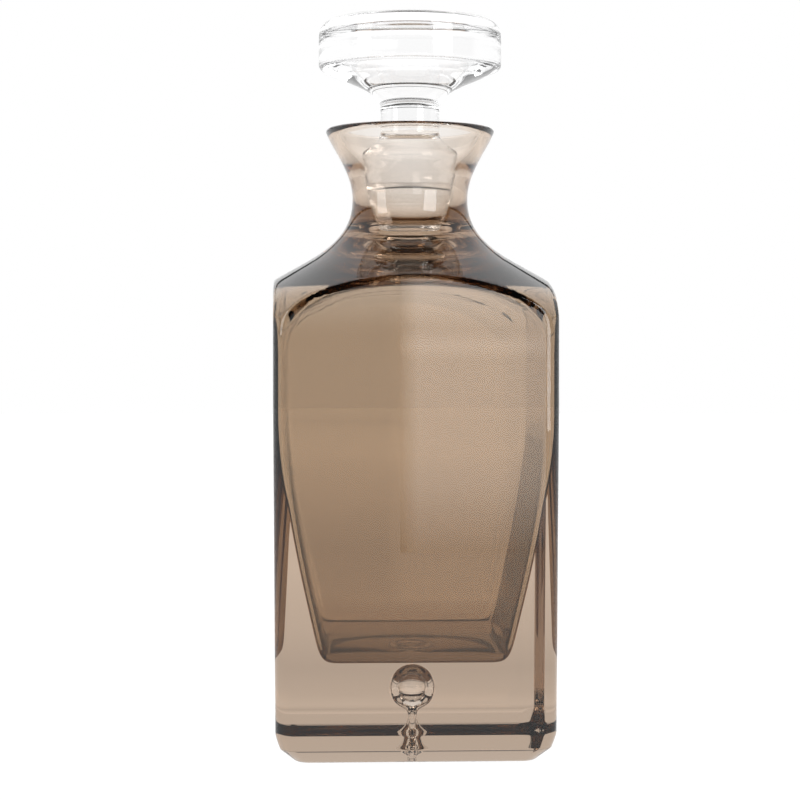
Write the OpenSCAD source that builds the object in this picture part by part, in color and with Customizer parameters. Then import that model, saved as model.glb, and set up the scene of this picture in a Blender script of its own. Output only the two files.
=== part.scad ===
// Square glass decanter with a disc-headed stopper.
// Millimetres, +Z up. Origin: centre of the underside, on the resting plane.
// The bottle is one glass solid; the stopper lifts straight up out of it.

/* [Body] */
// Width and depth of the square body, across the flats
body_w = 95.5; // [94:0.5:102]
// Radius of the four upright outer corners
corner_r = 5.5; // [4.5:0.5:8]
// How far each face draws in towards the foot
draft = 0.75; // [0:0.05:1]
// Width of the rounded edge around the foot
foot_in = 8.6; // [8.2:0.1:9.6]
// Height of the rounded edge around the foot
foot_up = 10.4; // [9.8:0.1:11.4]
// Height of the shallow hollow in the underside
push_up = 4.6; // [3:0.1:5.4]
// Radius of the hollow, inside the flat ring the bottle stands on
push_r = 33; // [30:0.5:35]
// Height at which the shoulder slope reaches the middle of each flat face
shoulder_z = 163; // [160:0.5:166]
// Slope of the shoulder, height lost for each millimetre outwards
shoulder_slope = 0.56; // [0.5:0.01:0.62]

/* [Neck] */
// Outer radius of the neck at its waist
waist_r = 20.2; // [18.5:0.1:22]
// Height of the waist
waist_z = 191.5; // [189:0.5:194]
// Outer radius of the flared lip
lip_r = 29.5; // [27:0.5:32]
// Height of the lip
lip_z = 216; // [214:0.5:219]

/* [Cavity] */
// Half width of the cavity in the upper body
cav_top_a = 45.2; // [43.5:0.1:45.6]
// Half width of the cavity where the walls meet the floor
cav_floor_a = 33.4; // [31:0.1:36]
// Height of the cavity floor above the resting plane
floor_z = 33; // [32:0.5:38]
// Height at which the walls stop tapering
taper_z = 104; // [96:1:116]
// Thickness of glass at the outer edge of the shoulder
shoulder_t = 4.4; // [3.5:0.1:5.5]
// Slope of the cavity's ceiling
ceiling_slope = 0.45; // [0.42:0.01:0.48]

/* [Bore and stopper] */
// Plug radius at the bottom end
plug_r_low = 11.9; // [11.2:0.1:12.4]
// Plug radius at the top end
plug_r_top = 17.1; // [16.5:0.1:17.5]
// Height of the plug's bottom end in the bottle
plug_z_low = 175; // [174.5:0.1:176]
// Height of the plug's top end in the bottle
plug_z_top = 207.5; // [206.5:0.1:208.5]
// Radial gap between plug and bore
fit_gap = 0.08; // [0.04:0.01:0.12]
// Radius of the stopper's stem
stem_r = 10.3; // [9.8:0.1:10.8]
// Radius of the stopper's disc head
disc_r = 32; // [29:0.5:36]
// Height of the top of the disc head
disc_z = 254; // [252:0.5:257]
// Thickness of the disc head at its rim
disc_t = 17.4; // [15:0.2:19]

/* [Air bubble] */
// Radius of the teardrop bubble in the base
bubble_r = 8; // [6:0.5:8.5]
// Height of the bubble's centre
bubble_z = 22; // [21:0.5:22.5]
// Radius of the thin tail below the bubble
tail_r = 1.5; // [1.2:0.1:2]
// Radius of the tail's flared foot in the underside
flare_r = 8; // [6:0.5:10]

/* [Hidden] */
$fn = 96;
a = body_w / 2;
// distance from the axis to the outermost point of a rounded corner
corner_d = (a - corner_r) * sqrt(2) + corner_r;
cone_z = function (r) shoulder_z + shoulder_slope * (a - r);

// cubic curve through p0 and p3, steered by p1 and p2, sampled at n steps
function bez(p0, p1, p2, p3, n) = [for (i = [0:n]) let (t = i / n, u = 1 - t)
    u * u * u * p0 + 3 * u * u * t * p1 + 3 * u * t * t * p2 + t * t * t * p3];
// the same curve without its first point, for joining curves end to end
function tail(v) = [for (i = [1:len(v) - 1]) v[i]];

// ---------- outer skin ----------
lip_round = 1.2;
neck_up = bez([lip_r, lip_z - lip_round], [lip_r - 2.9, lip_z - lip_round - 7],
              [waist_r, waist_z + 9], [waist_r, waist_z], 9);
neck_down = bez([waist_r, waist_z], [waist_r, waist_z - 8.5],
                [24.2, cone_z(36) + 6.6], [36, cone_z(36)], 9);
brow = bez([55, cone_z(55)], [corner_d - 3, cone_z(corner_d - 3)],
           [corner_d + 1.3, 151], [corner_d + 1.3, 137], 8);
outer_profile = concat([[0, lip_z]], [[lip_r - lip_round, lip_z]],
    neck_up, tail(neck_down), brow, [[corner_d + 1.3, -1], [0, -1]]);

module rounded_square(h, r) {
    union() {
        square([2 * h, 2 * (h - r)], center = true);
        square([2 * (h - r), 2 * h], center = true);
        for (sx = [-1, 1], sy = [-1, 1])
            translate([sx * (h - r), sy * (h - r)]) circle(r);
    }
}

// half width of the body at height z
draft_z = 115;
function side_a(z) = a - draft * max(0, 1 - z / draft_z);

// half of the side view, as distance in from the face and height: drawn-in part, slope, soft bend
foot_curve = concat(
    bez([0, foot_up], [0.35, foot_up - 1.9], [0.95, foot_up - 3.5], [1.4, foot_up - 4.85], 4),
    [[1.9, foot_up - 5.65]],
    bez([foot_in - 2.6, 1.1], [foot_in - 1.9, 0.4], [foot_in - 1, 0], [foot_in, 0], 4));
foot_half = concat([[a, lip_z + 4], [a, draft_z]], [for (p = foot_curve) [side_a(p[1]) - p[0], p[1]]]);

// upright slab with the foot's edge on two sides
module foot_slab() {
    rotate([90, 0, 0]) linear_extrude(height = body_w + 4, center = true)
        polygon(concat(foot_half, [for (i = [len(foot_half) - 1:-1:0]) [-foot_half[i][0], foot_half[i][1]]]));
}

module outer_solid() {
    intersection() {
        linear_extrude(height = lip_z + 2) rounded_square(a, corner_r);
        foot_slab();
        rotate([0, 0, 90]) foot_slab();
        rotate_extrude() polygon(outer_profile);
    }
}

// ---------- cavity ----------
cav_side = bez([cav_top_a, taper_z + 14], [cav_top_a, taper_z - 12],
               [cav_floor_a + 5, floor_z + 30], [cav_floor_a, floor_z + 8], 8);
cav_edge = bez([cav_floor_a, floor_z + 8], [cav_floor_a - 1, floor_z + 4.2],
               [cav_floor_a - 1.8, floor_z], [cav_floor_a - 6, floor_z], 5);
half_cav = concat([[cav_top_a, lip_z]], cav_side, tail(cav_edge));
cav_outline = concat(half_cav, [for (i = [len(half_cav) - 1:-1:0]) [-half_cav[i][0], half_cav[i][1]]]);

module cavity_slab() {
    rotate([90, 0, 0]) linear_extrude(height = body_w, center = true) polygon(cav_outline);
}

cav_corner = 3;
function corner_reach(h) = (h - cav_corner) * sqrt(2) + cav_corner;
slope = (plug_r_top - plug_r_low) / (plug_z_top - plug_z_low);
function plug_r(z) = plug_r_low + slope * (z - plug_z_low);
bore_end_z = plug_z_low - 0.4;
bore_end_r = plug_r(bore_end_z) + fit_gap;
in_z = function (r) cone_z(46) - shoulder_t + ceiling_slope * (46 - r);
dome = concat(
    bez([bore_end_r, bore_end_z], [bore_end_r, bore_end_z - 1.2],
        [14, in_z(16) + 0.2], [17, in_z(17)], 5),
    bez([46, in_z(46)], [corner_reach(cav_top_a) - 6, in_z(corner_reach(cav_top_a) - 10)],
        [corner_reach(cav_top_a) + 1, 148], [corner_reach(cav_top_a) + 1, 134], 7));
reach_low = [[corner_reach(cav_top_a) + 1, taper_z + 14],
    [corner_reach(cav_floor_a + 5.5), floor_z + 25], [corner_reach(cav_floor_a), floor_z + 8],
    [corner_reach(cav_floor_a) - 2.4, floor_z + 2], [corner_reach(cav_floor_a) - 6, floor_z - 1]];
cavity_profile = concat([[0, bore_end_z]], dome, reach_low, [[0, floor_z - 1]]);

module cavity() {
    intersection() {
        cavity_slab();
        rotate([0, 0, 90]) cavity_slab();
        rotate_extrude() polygon(cavity_profile);
    }
}

// ---------- bore and funnel ----------
funnel_z = plug_z_top - 7.5;
module bore() {
    rotate_extrude() polygon(concat(
        [[0, bore_end_z - 1], [bore_end_r, bore_end_z - 1], [bore_end_r, bore_end_z],
         [plug_r(funnel_z) + fit_gap, funnel_z]],
        tail(bez([plug_r(funnel_z) + fit_gap, funnel_z], [plug_r(funnel_z) + 1.1, funnel_z + 3],
            [lip_r - 8, lip_z - 9.5], [lip_r - 4, lip_z - 0.8], 7)),
        [[lip_r - 2.6, lip_z + 0.01], [lip_r - 2.6, lip_z + 3], [0, lip_z + 3]]));
}

// ---------- bubble, tail, flare and hollow underside ----------
module bubble() {
    rotate_extrude() polygon(concat(
        [for (i = [0:9]) let (w = 90 - 13 * i) [max(0, bubble_r * cos(w)), bubble_z + bubble_r * sin(w)]],
        bez([5.4, bubble_z - 6.3], [3, bubble_z - 8.3], [tail_r, bubble_z - 8.8], [tail_r, 11.5], 5),
        tail(bez([tail_r, 11.5], [tail_r, 9.5], [flare_r - 5, 7.2], [flare_r, push_up + 0.7], 5)),
        tail(bez([flare_r, push_up + 0.7], [flare_r + 4, push_up - 0.3], [push_r - 13, push_up * 0.62], [push_r, 0], 8)),
        [[push_r, -1], [0, -1]]));
}

module decanter_body() {
    color([0.63, 0.52, 0.42, 0.45]) difference() {
        outer_solid();
        cavity();
        bore();
        bubble();
    }
}

// ---------- stopper ----------
disc_low = disc_z - disc_t;
module stopper() {
    color([0.95, 0.97, 0.98, 0.35]) rotate_extrude() polygon(concat(
        [[0, disc_z]],
        bez([disc_r - 6, disc_z], [disc_r - 2, disc_z - 0.3], [disc_r, disc_z - 2.4], [disc_r, disc_z - 6], 5),
        bez([disc_r, disc_low + 2], [disc_r, disc_low + 0.8], [disc_r - 0.6, disc_low + 0.2], [disc_r - 2, disc_low - 0.4], 3),
        bez([disc_r - 5, disc_low - 2], [18, disc_low - 5.4], [11.4, disc_low - 7.6], [stem_r, disc_low - 13], 7),
        bez([stem_r, plug_z_top + 8], [stem_r + 0.2, plug_z_top + 5], [plug_r_top - 4.5, plug_z_top + 3.2], [plug_r_top - 2.2, plug_z_top + 1.2], 6),
        tail(bez([plug_r_top - 2.2, plug_z_top + 1.2], [plug_r_top - 0.9, plug_z_top + 0.2],
            [plug_r(plug_z_top - 0.6), plug_z_top - 0.6], [plug_r(plug_z_top - 2.5), plug_z_top - 2.5], 4)),
        [[plug_r(plug_z_low + 2), plug_z_low + 2], [plug_r_low - 0.7, plug_z_low + 0.6],
         [plug_r_low - 2.2, plug_z_low], [0, plug_z_low]]));
}

decanter_body();
stopper();
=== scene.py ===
"""Square tinted glass decanter with a clear disc-headed stopper.

Lengths below are in millimetres and are turned into metres when the meshes are made.
Both CAD nodes are replaced by finer meshes of the same shape and size.
"""

import math

import bpy
import numpy as np
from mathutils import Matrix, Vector


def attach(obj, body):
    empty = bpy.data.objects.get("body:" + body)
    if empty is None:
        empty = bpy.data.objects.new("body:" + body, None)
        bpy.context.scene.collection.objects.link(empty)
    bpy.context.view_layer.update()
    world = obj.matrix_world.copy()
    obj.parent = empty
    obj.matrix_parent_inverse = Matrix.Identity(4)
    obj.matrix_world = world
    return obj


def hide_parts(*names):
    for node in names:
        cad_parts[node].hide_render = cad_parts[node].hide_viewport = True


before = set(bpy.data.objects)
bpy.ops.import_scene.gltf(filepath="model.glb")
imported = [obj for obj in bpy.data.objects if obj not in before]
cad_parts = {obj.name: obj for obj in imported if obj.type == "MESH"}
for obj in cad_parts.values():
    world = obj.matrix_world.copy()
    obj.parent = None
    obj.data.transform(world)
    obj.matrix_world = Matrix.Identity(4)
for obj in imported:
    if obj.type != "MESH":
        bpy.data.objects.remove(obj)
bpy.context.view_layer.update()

MM = 0.001
# grey of the studio by height above the horizon: behind the object, then on the camera's side
BACK = [(-90, 1.0), (17.6, 1.0), (18.3, 0.04), (19.8, 0.04), (20.5, 1.0), (56, 1.0), (66, 0.05), (90, 0.03)]
FRONT = [(-90, 1.0), (1, 1.0), (4, 0.04), (90, 0.03)]
# tint of the thin smoke layer at the cavity wall, by height from the floor (0) to the lip (1)
TINTS = [(0.0, (0.46, 0.36, 0.27)), (0.072, (0.46, 0.36, 0.27)), (0.10, (0.585, 0.475, 0.368)), (0.65, (0.60, 0.50, 0.394)), (0.82, (0.83, 0.77, 0.71)), (1.0, (0.99, 0.985, 0.98))]

# ----------------------------------------------------------------- dimensions, as in the CAD part
A = 47.75           # half width of the body
DRAFT, DRAFT_Z = 0.75, 115.0    # how far each face draws in towards the foot, and from what height
CORNER = 5.5        # radius of the upright corners
FOOT_IN, FOOT_UP = 8.6, 10.4    # width and height of the foot's drawn-in edge
PUSH, PUSH_R = 4.6, 33.0        # height and radius of the hollow in the underside
CORNER_D = (A - CORNER) * math.sqrt(2) + CORNER
SH_Z, SH_S = 163.0, 0.56
WAIST_R, WAIST_Z = 20.2, 191.5
LIP_R, LIP_Z, LIP_ROUND = 29.5, 216.0, 1.2
CAV_A, CAV_FLOOR_A, FLOOR_Z, TAPER_Z, SH_T = 45.2, 33.4, 33.0, 104.0, 4.4
PLUG_R0, PLUG_R1, PLUG_Z0, PLUG_Z1, GAP = 11.9, 17.1, 175.0, 207.5, 0.08
STEM_R, DISC_R, DISC_Z, DISC_T = 10.3, 32.0, 254.0, 17.4
BUB_R, BUB_Z, TAIL_R, FLARE_R = 8.0, 22.0, 1.5, 8.0
FUNNEL_Z = 200.0
EDGE_K = 1.2        # softness of the crease between shoulder and faces
CAV_C = 3.0         # radius of the cavity's upright corners
IN_S = 0.45         # slope of the cavity's ceiling


def cone_z(r):
    return SH_Z + SH_S * (A - r)


def side_a(z):
    """Half width of the body at height z."""
    return A - DRAFT * max(0.0, 1 - z / DRAFT_Z)


def bez(p0, p1, p2, p3, n):
    p = [np.array(q, float) for q in (p0, p1, p2, p3)]
    t = np.linspace(0, 1, n + 1)[:, None]
    u = 1 - t
    return u**3 * p[0] + 3 * u * u * t * p[1] + 3 * u * t * t * p[2] + t**3 * p[3]


def join(*runs):
    """Joins point runs end to end and drops repeated points."""
    out = []
    for run in runs:
        for p in run:
            p = np.array(p, float)
            if not out or np.linalg.norm(p - out[-1]) > 1e-6:
                out.append(p)
    return np.array(out)


def line(p, q, n):
    t = np.linspace(0, 1, n + 1)[:, None]
    return np.array(p, float) * (1 - t) + np.array(q, float) * t


# ----------------------------------------------------------------- ring angles, denser round the corners
def ring_angles(per_quadrant=60):
    """Angles of one ring's points, with half of them in the four corner arcs."""
    fine = np.linspace(0, 1, 4001)
    deg = fine * 90
    dens = 1 + 9 * np.exp(-(((deg - 45) / 4.8) ** 4))
    cum = np.concatenate([[0], np.cumsum((dens[1:] + dens[:-1]) / 2)])
    cum /= cum[-1]
    q = np.interp(np.arange(per_quadrant) / per_quadrant, cum, deg)
    return np.radians(np.concatenate([q + 90 * k for k in range(4)]))


PHI = ring_angles()
N = len(PHI)


def square_r(h, rc, phi=PHI):
    """Polar radius of a rounded square of half width h and corner radius rc."""
    f = np.mod(phi, math.pi / 2)
    f = np.where(f > math.pi / 4, math.pi / 2 - f, f)
    flat = h / np.cos(f)
    c = h - rc
    # distance along the ray to the corner arc
    b = c * (np.cos(f) + np.sin(f))
    disc = np.maximum(b * b - (2 * c * c - rc * rc), 0)
    arc = b + np.sqrt(disc)
    return np.where(flat * np.sin(f) <= c, flat, arc)


def smin(x, y, k):
    h = np.maximum(k - np.abs(x - y), 0) / k
    return np.minimum(x, y) - h * h * k / 4


# ----------------------------------------------------------------- decanter body: one closed stack of rings
rings = []      # (r array, z array, which skin)
OUTSIDE, INSIDE = 0, 1


def ring(r, z, skin_of):
    rings.append((np.broadcast_to(np.asarray(r, float), (N,)).copy(), np.broadcast_to(np.asarray(z, float), (N,)).copy(), skin_of))


# bubble, from its top pole down through the tail to the flared foot
w = np.radians(np.linspace(84, -27, 26))
ball = np.stack([BUB_R * np.cos(w), BUB_Z + BUB_R * np.sin(w)], 1)
bub = join(ball, bez(ball[-1], ball[-1] + np.array([-0.45, -0.9]) * 4.2, (TAIL_R, 15.5), (TAIL_R, 12.5), 16),
           bez((TAIL_R, 12.5), (TAIL_R, 9.8), (FLARE_R - 5.0, 7.2), (FLARE_R, PUSH + 0.7), 16),
           bez((FLARE_R, PUSH + 0.7), (FLARE_R + 4, PUSH - 0.3), (PUSH_R - 13, PUSH * 0.62), (PUSH_R, 0.0), 26))
for R, z in bub:
    ring(R, z, OUTSIDE)
# flat underside out to the foot edge
CORNER_IN = 3.4
for t in (0.4, 0.8):
    ring((1 - t) * PUSH_R + t * square_r(side_a(0) - FOOT_IN, CORNER_IN), 0.0, OUTSIDE)
foot = join(bez((FOOT_IN, 0), (FOOT_IN - 1.0, 0), (FOOT_IN - 1.9, 0.4), (FOOT_IN - 2.6, 1.1), 8),
            line((FOOT_IN - 2.6, 1.1), (1.9, FOOT_UP - 5.65), 6),
            bez((1.9, FOOT_UP - 5.65), (1.7, FOOT_UP - 5.47), (1.52, FOOT_UP - 5.2), (1.4, FOOT_UP - 4.85), 4),
            bez((1.4, FOOT_UP - 4.85), (0.95, FOOT_UP - 3.5), (0.35, FOOT_UP - 1.9), (0, FOOT_UP), 8))
for ins, z in foot:
    ring(square_r(side_a(z) - ins, CORNER + (CORNER_IN - CORNER) * ins / FOOT_IN), z, OUTSIDE)
# upright sides
for z in (FOOT_UP + 1.2, *np.linspace(FOOT_UP + 4, 137, 17)[:-1]):
    ring(square_r(side_a(z), CORNER), z, OUTSIDE)
# brow, shoulder and neck
brow = bez((55, cone_z(55)), (CORNER_D - 3, cone_z(CORNER_D - 3)), (CORNER_D + 1.3, 151), (CORNER_D + 1.3, 137), 38)[::-1]
neck_down = bez((WAIST_R, WAIST_Z), (WAIST_R, WAIST_Z - 8.5), (24.2, cone_z(36) + 6.6), (36, cone_z(36)), 26)[::-1]
neck_up = bez((LIP_R, LIP_Z - LIP_ROUND), (LIP_R - 2.9, LIP_Z - LIP_ROUND - 7), (WAIST_R, WAIST_Z + 9), (WAIST_R, WAIST_Z), 26)[::-1]
outer = join(brow, line((55, cone_z(55)), (36, cone_z(36)), 20), neck_down, neck_up)
for R, z in outer:
    ring(smin(R, square_r(A, CORNER), EDGE_K), z, OUTSIDE)
# lip
for t in np.radians(np.linspace(0, 90, 6))[1:]:
    ring(LIP_R - LIP_ROUND * (1 - math.cos(t)), LIP_Z - LIP_ROUND * (1 - math.sin(t)), OUTSIDE)


def plug_r(z):
    return PLUG_R0 + (PLUG_R1 - PLUG_R0) / (PLUG_Z1 - PLUG_Z0) * (z - PLUG_Z0)


BORE_END_Z = PLUG_Z0 - 0.4
funnel = bez((plug_r(FUNNEL_Z) + GAP, FUNNEL_Z), (plug_r(FUNNEL_Z) + 1.1, FUNNEL_Z + 3), (LIP_R - 8, LIP_Z - 9.5), (LIP_R - 4, LIP_Z - 0.8), 22)[::-1]
mouth = join([(LIP_R - 2.6, LIP_Z), (LIP_R - 3.5, LIP_Z - 0.3)], funnel, line((plug_r(FUNNEL_Z) + GAP, FUNNEL_Z), (plug_r(BORE_END_Z) + GAP, BORE_END_Z), 14))
for R, z in mouth:
    ring(R, z, INSIDE)


def reach(h, rc=CAV_C):
    return (h - rc) * math.sqrt(2) + rc


def in_z(r):
    return cone_z(46) - SH_T + IN_S * (46 - r)


side = bez((CAV_A, TAPER_Z + 14), (CAV_A, TAPER_Z - 12), (CAV_FLOOR_A + 5, FLOOR_Z + 30), (CAV_FLOOR_A, FLOOR_Z + 8), 60)


def cav_a(z):
    return float(np.interp(z, side[::-1, 1], side[::-1, 0])) if z < TAPER_Z + 14 else CAV_A


dome = join(bez((plug_r(BORE_END_Z) + GAP, BORE_END_Z), (plug_r(BORE_END_Z), BORE_END_Z - 1.2), (14, in_z(16) + 0.2), (17, in_z(17)), 14),
            line((17, in_z(17)), (46, in_z(46)), 20),
            bez((46, in_z(46)), (reach(CAV_A) - 6, in_z(reach(CAV_A) - 10)), (reach(CAV_A) + 1, 148), (reach(CAV_A) + 1, 134), 30))
for R, z in dome[1:]:
    ring(smin(R, square_r(cav_a(z), CAV_C), EDGE_K), z, INSIDE)
for z in np.linspace(134, FLOOR_Z + 8, 40)[1:]:
    ring(square_r(cav_a(z), CAV_C), z, INSIDE)
edge = bez((CAV_FLOOR_A, FLOOR_Z + 8), (CAV_FLOOR_A - 1.0, FLOOR_Z + 4.2), (CAV_FLOOR_A - 1.8, FLOOR_Z), (CAV_FLOOR_A - 6, FLOOR_Z), 14)
for h, z in edge[1:]:
    ring(square_r(h, 3.0), z, INSIDE)
last = rings[-1][0]
for t in (0.25, 0.5, 0.7, 0.85, 0.95):
    ring((1 - t) * ((1 - t) * last + t * (CAV_FLOOR_A - 6)), FLOOR_Z, INSIDE)


def skin(name, rings, top_z, end_z, materials):
    """Closed mesh through the rings, with a pole point before the first and after the last."""
    n = len(rings[0][0])
    phi = PHI if n == N else np.linspace(0, 2 * math.pi, n, endpoint=False)
    cs, sn = np.cos(phi), np.sin(phi)
    verts = [np.stack([r * cs, r * sn, z], 1) for r, z, _ in rings]
    v = np.concatenate([[[0, 0, top_z]], *verts, [[0, 0, end_z]]]) * MM
    idx = np.arange(n)
    nxt = (idx + 1) % n
    faces = []
    first = 1 + idx
    faces += [(0, int(b), int(a)) for a, b in zip(first, 1 + nxt)]
    for k in range(len(rings) - 1):
        o, p = 1 + k * n, 1 + (k + 1) * n
        faces += [(int(o + i), int(o + j), int(p + j), int(p + i)) for i, j in zip(idx, nxt)]
    o = 1 + (len(rings) - 1) * n
    e = len(v) - 1
    faces += [(e, int(o + i), int(o + j)) for i, j in zip(idx, nxt)]
    me = bpy.data.meshes.new(name)
    me.from_pydata(v.tolist(), [], faces)
    for m in materials:
        me.materials.append(m)
    me.polygons.foreach_set("use_smooth", np.ones(len(faces), bool))
    me.update()
    ob = bpy.data.objects.new(name, me)
    bpy.context.scene.collection.objects.link(ob)
    return ob


# ----------------------------------------------------------------- materials
def glass(name, colour, rough, absorb, density, ior=1.5):
    m = bpy.data.materials.new(name)
    m.use_nodes = True
    nt = m.node_tree
    p = nt.nodes["Principled BSDF"]
    p.inputs["Base Color"].default_value = (*colour, 1)
    p.inputs["Roughness"].default_value = rough
    p.inputs["IOR"].default_value = ior
    p.inputs["Transmission Weight"].default_value = 1.0
    out = nt.nodes["Material Output"]
    if density:
        vol = nt.nodes.new("ShaderNodeVolumeAbsorption")
        vol.inputs["Color"].default_value = (*absorb, 1)
        vol.inputs["Density"].default_value = density
        nt.links.new(vol.outputs["Volume"], out.inputs["Volume"])
    return m, nt, p


# a light tint through the whole glass
smoke, nt, p = glass("smoke_glass", (0.99, 0.985, 0.98), 0.0, (0.546, 0.381, 0.214), 18.0)

# the rest of the tint lies in a thin smoke layer just inside the cavity wall
layer = bpy.data.materials.new("smoke_layer")
layer.use_nodes = True
lt = layer.node_tree
lt.nodes.remove(lt.nodes["Principled BSDF"])
tr = lt.nodes.new("ShaderNodeBsdfTransparent")
lt.links.new(tr.outputs["BSDF"], lt.nodes["Material Output"].inputs["Surface"])
geo = lt.nodes.new("ShaderNodeTexCoord")
sep = lt.nodes.new("ShaderNodeSeparateXYZ")
lt.links.new(geo.outputs["Object"], sep.inputs["Vector"])
rng = lt.nodes.new("ShaderNodeMapRange")
rng.inputs["From Min"].default_value = 0.03
rng.inputs["From Max"].default_value = 0.216
lt.links.new(sep.outputs["Z"], rng.inputs["Value"])
noise = lt.nodes.new("ShaderNodeTexNoise")
noise.inputs["Scale"].default_value = 9.0
noise.inputs["Detail"].default_value = 1.0
lt.links.new(geo.outputs["Object"], noise.inputs["Vector"])
mad = lt.nodes.new("ShaderNodeMath")
mad.operation = "MULTIPLY_ADD"
mad.inputs[1].default_value = 0.10
lt.links.new(noise.outputs["Fac"], mad.inputs[0])
lt.links.new(rng.outputs["Result"], mad.inputs[2])
ramp = lt.nodes.new("ShaderNodeValToRGB")
lt.links.new(mad.outputs["Value"], ramp.inputs["Fac"])
els = ramp.color_ramp.elements
els[0].position, els[0].color = 0.0, (*TINTS[0][1], 1)
els[1].position, els[1].color = 1.0, (*TINTS[-1][1], 1)
for pos, col in TINTS[1:-1]:
    e = els.new(pos)
    e.color = (*col, 1)
lt.links.new(ramp.outputs["Color"], tr.inputs["Color"])

clear_glass, _, _ = glass("clear_glass", (1, 1, 1), 0.0, (0.95, 0.95, 0.97), 1.0)

body = skin("decanter_glass", rings, BUB_Z + BUB_R, FLOOR_Z, [smoke])
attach(body, "decanter")
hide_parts("decanter_body")

# the smoke layer follows the cavity wall, 0.25 mm into the glass
k0 = next(k for k, q in enumerate(rings) if q[2] == INSIDE)
start = 1 + k0 * N
pts = [vt.co - vt.normal * 0.25 * MM for vt in body.data.vertices[start:]]
quads = [tuple(i - start for i in q.vertices) for q in body.data.polygons if min(q.vertices) >= start]
lining_me = bpy.data.meshes.new("smoke_lining")
lining_me.from_pydata([tuple(q) for q in pts], [], quads)
lining_me.materials.append(layer)
lining_me.polygons.foreach_set("use_smooth", np.ones(len(quads), bool))
lining = bpy.data.objects.new("smoke_lining", lining_me)
bpy.context.scene.collection.objects.link(lining)
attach(lining, "decanter")
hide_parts("decanter_body")

# the neck's glass is tinted too: a thin layer under its outer skin, darker where it is seen edge-on
neck_layer = bpy.data.materials.new("neck_layer")
neck_layer.use_nodes = True
nl = neck_layer.node_tree
nl.nodes.remove(nl.nodes["Principled BSDF"])
ntr = nl.nodes.new("ShaderNodeBsdfTransparent")
nl.links.new(ntr.outputs["BSDF"], nl.nodes["Material Output"].inputs["Surface"])
lw = nl.nodes.new("ShaderNodeLayerWeight")
lw.inputs["Blend"].default_value = 0.5
nr = nl.nodes.new("ShaderNodeValToRGB")
nl.links.new(lw.outputs["Facing"], nr.inputs["Fac"])
ne = nr.color_ramp.elements
ne[0].position, ne[0].color = 0.0, (0.99, 0.98, 0.97, 1)
ne[1].position, ne[1].color = 0.24, (0.80, 0.73, 0.66, 1)
nl.links.new(nr.outputs["Color"], ntr.inputs["Color"])
ks = [k for k, q in enumerate(rings) if q[2] == OUTSIDE and 177 < q[1].mean() and k < k0]
lo_v, hi_v = 1 + ks[0] * N, 1 + (ks[-1] + 1) * N
npts = [vt.co - vt.normal * 0.25 * MM for vt in body.data.vertices[lo_v:hi_v]]
nquads = [tuple(i - lo_v for i in q.vertices) for q in body.data.polygons if min(q.vertices) >= lo_v and max(q.vertices) < hi_v]
neck_me = bpy.data.meshes.new("neck_lining")
neck_me.from_pydata([tuple(q) for q in npts], [], nquads)
neck_me.materials.append(neck_layer)
neck_me.polygons.foreach_set("use_smooth", np.ones(len(nquads), bool))
neck_lining = bpy.data.objects.new("neck_lining", neck_me)
bpy.context.scene.collection.objects.link(neck_lining)
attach(neck_lining, "decanter")
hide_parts("decanter_body")

# ----------------------------------------------------------------- stopper
low = DISC_Z - DISC_T
prof = join(
    [(6, DISC_Z), (14, DISC_Z), (21, DISC_Z), (DISC_R - 6, DISC_Z)],
    bez((DISC_R - 6, DISC_Z), (DISC_R - 2, DISC_Z - 0.3), (DISC_R, DISC_Z - 2.4), (DISC_R, DISC_Z - 6), 14),
    line((DISC_R, DISC_Z - 6), (DISC_R, low + 2), 4),
    bez((DISC_R, low + 2), (DISC_R, low + 0.8), (DISC_R - 0.6, low + 0.2), (DISC_R - 2, low - 0.4), 8),
    bez((DISC_R - 5, low - 2), (18, low - 5.4), (11.4, low - 7.6), (STEM_R, low - 13), 34),
    line((STEM_R, low - 13), (STEM_R, 215.5), 6),
    bez((STEM_R, 215.5), (STEM_R + 0.2, 212.5), (PLUG_R1 - 4.5, PLUG_Z1 + 3.2), (PLUG_R1 - 2.2, PLUG_Z1 + 1.2), 12),
    bez((PLUG_R1 - 2.2, PLUG_Z1 + 1.2), (PLUG_R1 - 0.9, PLUG_Z1 + 0.2), (plug_r(PLUG_Z1 - 0.6), PLUG_Z1 - 0.6), (plug_r(PLUG_Z1 - 2.5), PLUG_Z1 - 2.5), 8),
    line((plug_r(PLUG_Z1 - 2.5), PLUG_Z1 - 2.5), (plug_r(PLUG_Z0 + 2), PLUG_Z0 + 2), 16),
    bez((plug_r(PLUG_Z0 + 2), PLUG_Z0 + 2), (PLUG_R0, PLUG_Z0 + 0.6), (PLUG_R0 - 0.8, PLUG_Z0), (PLUG_R0 - 2.4, PLUG_Z0), 8),
    [(6, PLUG_Z0), (3, PLUG_Z0)],
)
NS = 224
srings = [(np.full(NS, R), np.full(NS, z), 0) for R, z in prof]
stopper = skin("stopper_glass", srings, DISC_Z, PLUG_Z0, [clear_glass])
# the pole order runs downward here, so the faces are turned to point outward
stopper.data.flip_normals()
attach(stopper, "stopper")
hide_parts("stopper")

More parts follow.
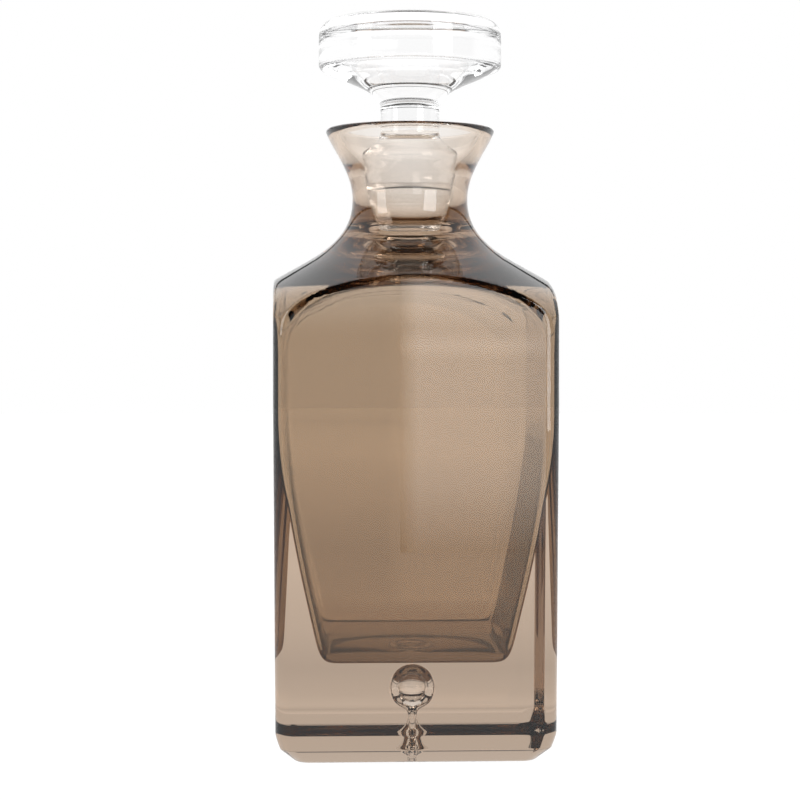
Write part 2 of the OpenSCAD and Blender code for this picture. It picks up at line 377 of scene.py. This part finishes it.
# ----------------------------------------------------------------- stage, light and camera
floor_me = bpy.data.meshes.new("floor")
m = 64
ang = np.linspace(0, 2 * math.pi, m, endpoint=False)
R_FLOOR = 6.0
floor_me.from_pydata([(R_FLOOR * math.cos(t), R_FLOOR * math.sin(t), 0) for t in ang], [], [list(range(m))])
floor = bpy.data.objects.new("floor", floor_me)
bpy.context.scene.collection.objects.link(floor)
floor.location.z = -0.0001
fm = bpy.data.materials.new("floor_paper")
fm.use_nodes = True
fp = fm.node_tree.nodes["Principled BSDF"]
fp.inputs["Base Color"].default_value = (0.02, 0.02, 0.02, 1)
fp.inputs["Roughness"].default_value = 0.6
fp.inputs["Specular IOR Level"].default_value = 0.1
fp.inputs["Emission Color"].default_value = (1, 1, 1, 1)
fp.inputs["Emission Strength"].default_value = 1.0
floor_me.materials.append(fm)

world = bpy.data.worlds.new("studio")
bpy.context.scene.world = world
world.use_nodes = True
wt = world.node_tree
bg = wt.nodes["Background"]
tc = wt.nodes.new("ShaderNodeTexCoord")
ws = wt.nodes.new("ShaderNodeSeparateXYZ")
wt.links.new(tc.outputs["Generated"], ws.inputs["Vector"])


def wmath(op, a, b=None, clamp=False):
    n = wt.nodes.new("ShaderNodeMath")
    n.operation = op
    n.use_clamp = clamp
    for i, q in enumerate((a, b)):
        if q is None:
            continue
        if isinstance(q, (int, float)):
            n.inputs[i].default_value = q
        else:
            wt.links.new(q, n.inputs[i])
    return n.outputs[0]


def wband(x, stops):
    """Grey value along x, from (position in degrees, value) stops."""
    mr = wt.nodes.new("ShaderNodeMapRange")
    mr.inputs["From Min"].default_value = math.radians(-180)
    mr.inputs["From Max"].default_value = math.radians(180)
    wt.links.new(x, mr.inputs["Value"])
    cr = wt.nodes.new("ShaderNodeValToRGB")
    wt.links.new(mr.outputs["Result"], cr.inputs["Fac"])
    el = cr.color_ramp.elements
    pos = [(d + 180) / 360 for d, _ in stops]
    el[0].position, el[0].color = pos[0], (*[stops[0][1]] * 3, 1)
    el[1].position, el[1].color = pos[-1], (*[stops[-1][1]] * 3, 1)
    for (d, v), q in list(zip(stops, pos))[1:-1]:
        e = el.new(q)
        e.color = (v, v, v, 1)
    return cr.outputs["Color"]


elev = wmath("ARCSINE", ws.outputs["Z"])
azim = wmath("ARCTAN2", ws.outputs["X"], ws.outputs["Y"])      # 0 straight behind the object, positive to the right
side_mix = wt.nodes.new("ShaderNodeMix")
side_mix.data_type = "FLOAT"
wt.links.new(wband(azim, [(-180, 1.0), (-100, 1.0), (-92, 0.0), (92, 0.0), (100, 1.0), (180, 1.0)]), side_mix.inputs["Factor"])
wt.links.new(wband(elev, BACK), side_mix.inputs[2])
wt.links.new(wband(elev, FRONT), side_mix.inputs[3])
mix = side_mix.outputs[0]
lp = wt.nodes.new("ShaderNodeLightPath")
cm = wt.nodes.new("ShaderNodeMix")
cm.data_type = "FLOAT"
wt.links.new(lp.outputs["Is Camera Ray"], cm.inputs["Factor"])
wt.links.new(mix, cm.inputs[2])
cm.inputs[3].default_value = 1.0
wt.links.new(cm.outputs[0], bg.inputs["Color"])
bg.inputs["Strength"].default_value = 1.0


def area(name, loc, aim, size, power, size_y=None, cam=False):
    li = bpy.data.lights.new(name, "AREA")
    li.shape = "RECTANGLE"
    li.size, li.size_y = size, size_y or size
    li.energy = power
    o = bpy.data.objects.new(name, li)
    bpy.context.scene.collection.objects.link(o)
    o.location = loc
    o.rotation_euler = (Vector(aim) - Vector(loc)).to_track_quat("-Z", "Y").to_euler()
    o.visible_camera = cam
    return o


area("right_softbox", (0.75, -0.95, 0.45), (0, 0, 0.12), 0.55, 7, 0.8)
area("left_softbox", (-1.0, -0.55, 0.5), (0, 0, 0.12), 0.4, 3, 0.7)



def card(name, corners, strength, fades=()):
    """Flat studio card, out of the camera's sight.

    Each fade is (axis, stops): the strength is multiplied by a ramp along that axis, in metres.
    """
    me = bpy.data.meshes.new(name)
    me.from_pydata(corners, [], [(0, 1, 2, 3)])
    mt = bpy.data.materials.new(name)
    mt.use_nodes = True
    ct = mt.node_tree
    cp = ct.nodes["Principled BSDF"]
    cp.inputs["Base Color"].default_value = (0.01, 0.01, 0.01, 1)
    cp.inputs["Roughness"].default_value = 0.9
    cp.inputs["Specular IOR Level"].default_value = 0.0
    cp.inputs["Emission Color"].default_value = (1, 1, 1, 1)
    cp.inputs["Emission Strength"].default_value = strength
    value = None
    for axis, stops in fades:
        co = ct.nodes.new("ShaderNodeTexCoord")
        sx = ct.nodes.new("ShaderNodeSeparateXYZ")
        ct.links.new(co.outputs["Object"], sx.inputs["Vector"])
        mr = ct.nodes.new("ShaderNodeMapRange")
        lo, hi = stops[0][0], stops[-1][0]
        mr.inputs["From Min"].default_value, mr.inputs["From Max"].default_value = lo, hi
        ct.links.new(sx.outputs[axis], mr.inputs["Value"])
        cr = ct.nodes.new("ShaderNodeValToRGB")
        ct.links.new(mr.outputs["Result"], cr.inputs["Fac"])
        el = cr.color_ramp.elements
        top = max(v for _, v in stops)
        el[0].position, el[0].color = 0, (*[stops[0][1] / top] * 3, 1)
        el[1].position, el[1].color = 1, (*[stops[-1][1] / top] * 3, 1)
        for q, v in stops[1:-1]:
            e = el.new((q - lo) / (hi - lo))
            e.color = (*[v / top] * 3, 1)
        mul = ct.nodes.new("ShaderNodeMath")
        mul.operation = "MULTIPLY"
        ct.links.new(cr.outputs["Color"], mul.inputs[0])
        mul.inputs[1].default_value = top * (strength if value is None else 1)
        if value is not None:
            m2 = ct.nodes.new("ShaderNodeMath")
            m2.operation = "MULTIPLY"
            ct.links.new(mul.outputs[0], m2.inputs[0])
            ct.links.new(value, m2.inputs[1])
            mul = m2
        value = mul.outputs[0]
    if value is not None:
        ct.links.new(value, cp.inputs["Emission Strength"])
    me.materials.append(mt)
    o = bpy.data.objects.new(name, me)
    bpy.context.scene.collection.objects.link(o)
    o.visible_camera = False
    o.visible_shadow = False
    return o


card("card_right", [(0.030, -0.80, 0.0), (0.30, -0.80, 0.0), (0.30, -0.80, 0.225), (0.030, -0.80, 0.225)], 3.0,
     [("X", [(0.030, 0.33), (0.042, 1.0), (0.14, 1.0), (0.30, 0.9)]),
      ("Z", [(0.0, 0.33), (0.045, 0.85), (0.12, 1.0), (0.138, 1.0), (0.148, 1.3), (0.158, 1.0), (0.215, 1.0), (0.225, 0.7)])])
card("floor_card", [(-0.80, 0.055, 0.0003), (0.80, 0.055, 0.0003), (0.80, 2.5, 0.0003), (-0.80, 2.5, 0.0003)], 1.0,
     [("Y", [(0.055, 1.3), (0.10, 1.22), (0.16, 1.0), (0.24, 0.9), (0.40, 1.05), (0.8, 1.2), (1.6, 1.15), (2.5, 1.0)])])

F_PX, D = 2259.0, 795.0
AZ = math.radians(2.95)
cam_d = bpy.data.cameras.new("camera")
cam_d.lens, cam_d.sensor_width = 36 * F_PX / 800, 36
cam_d.clip_start, cam_d.clip_end = 0.05, 60
cam = bpy.data.objects.new("camera", cam_d)
bpy.context.scene.collection.objects.link(cam)
cam.location = (-D * math.sin(AZ) * MM, -D * math.cos(AZ) * MM, 131.5 * MM)
pitch = math.atan(30 / F_PX)
yaw = math.atan(9.9 / F_PX)
cam.rotation_euler = (math.pi / 2 - pitch, 0, -AZ + yaw)
bpy.context.scene.camera = cam

bpy.context.scene.view_settings.view_transform = "Standard"
bpy.context.scene.cycles.max_bounces = 32
bpy.context.scene.cycles.transmission_bounces = 32
bpy.context.scene.cycles.transparent_max_bounces = 64
bpy.context.scene.cycles.glossy_bounces = 12
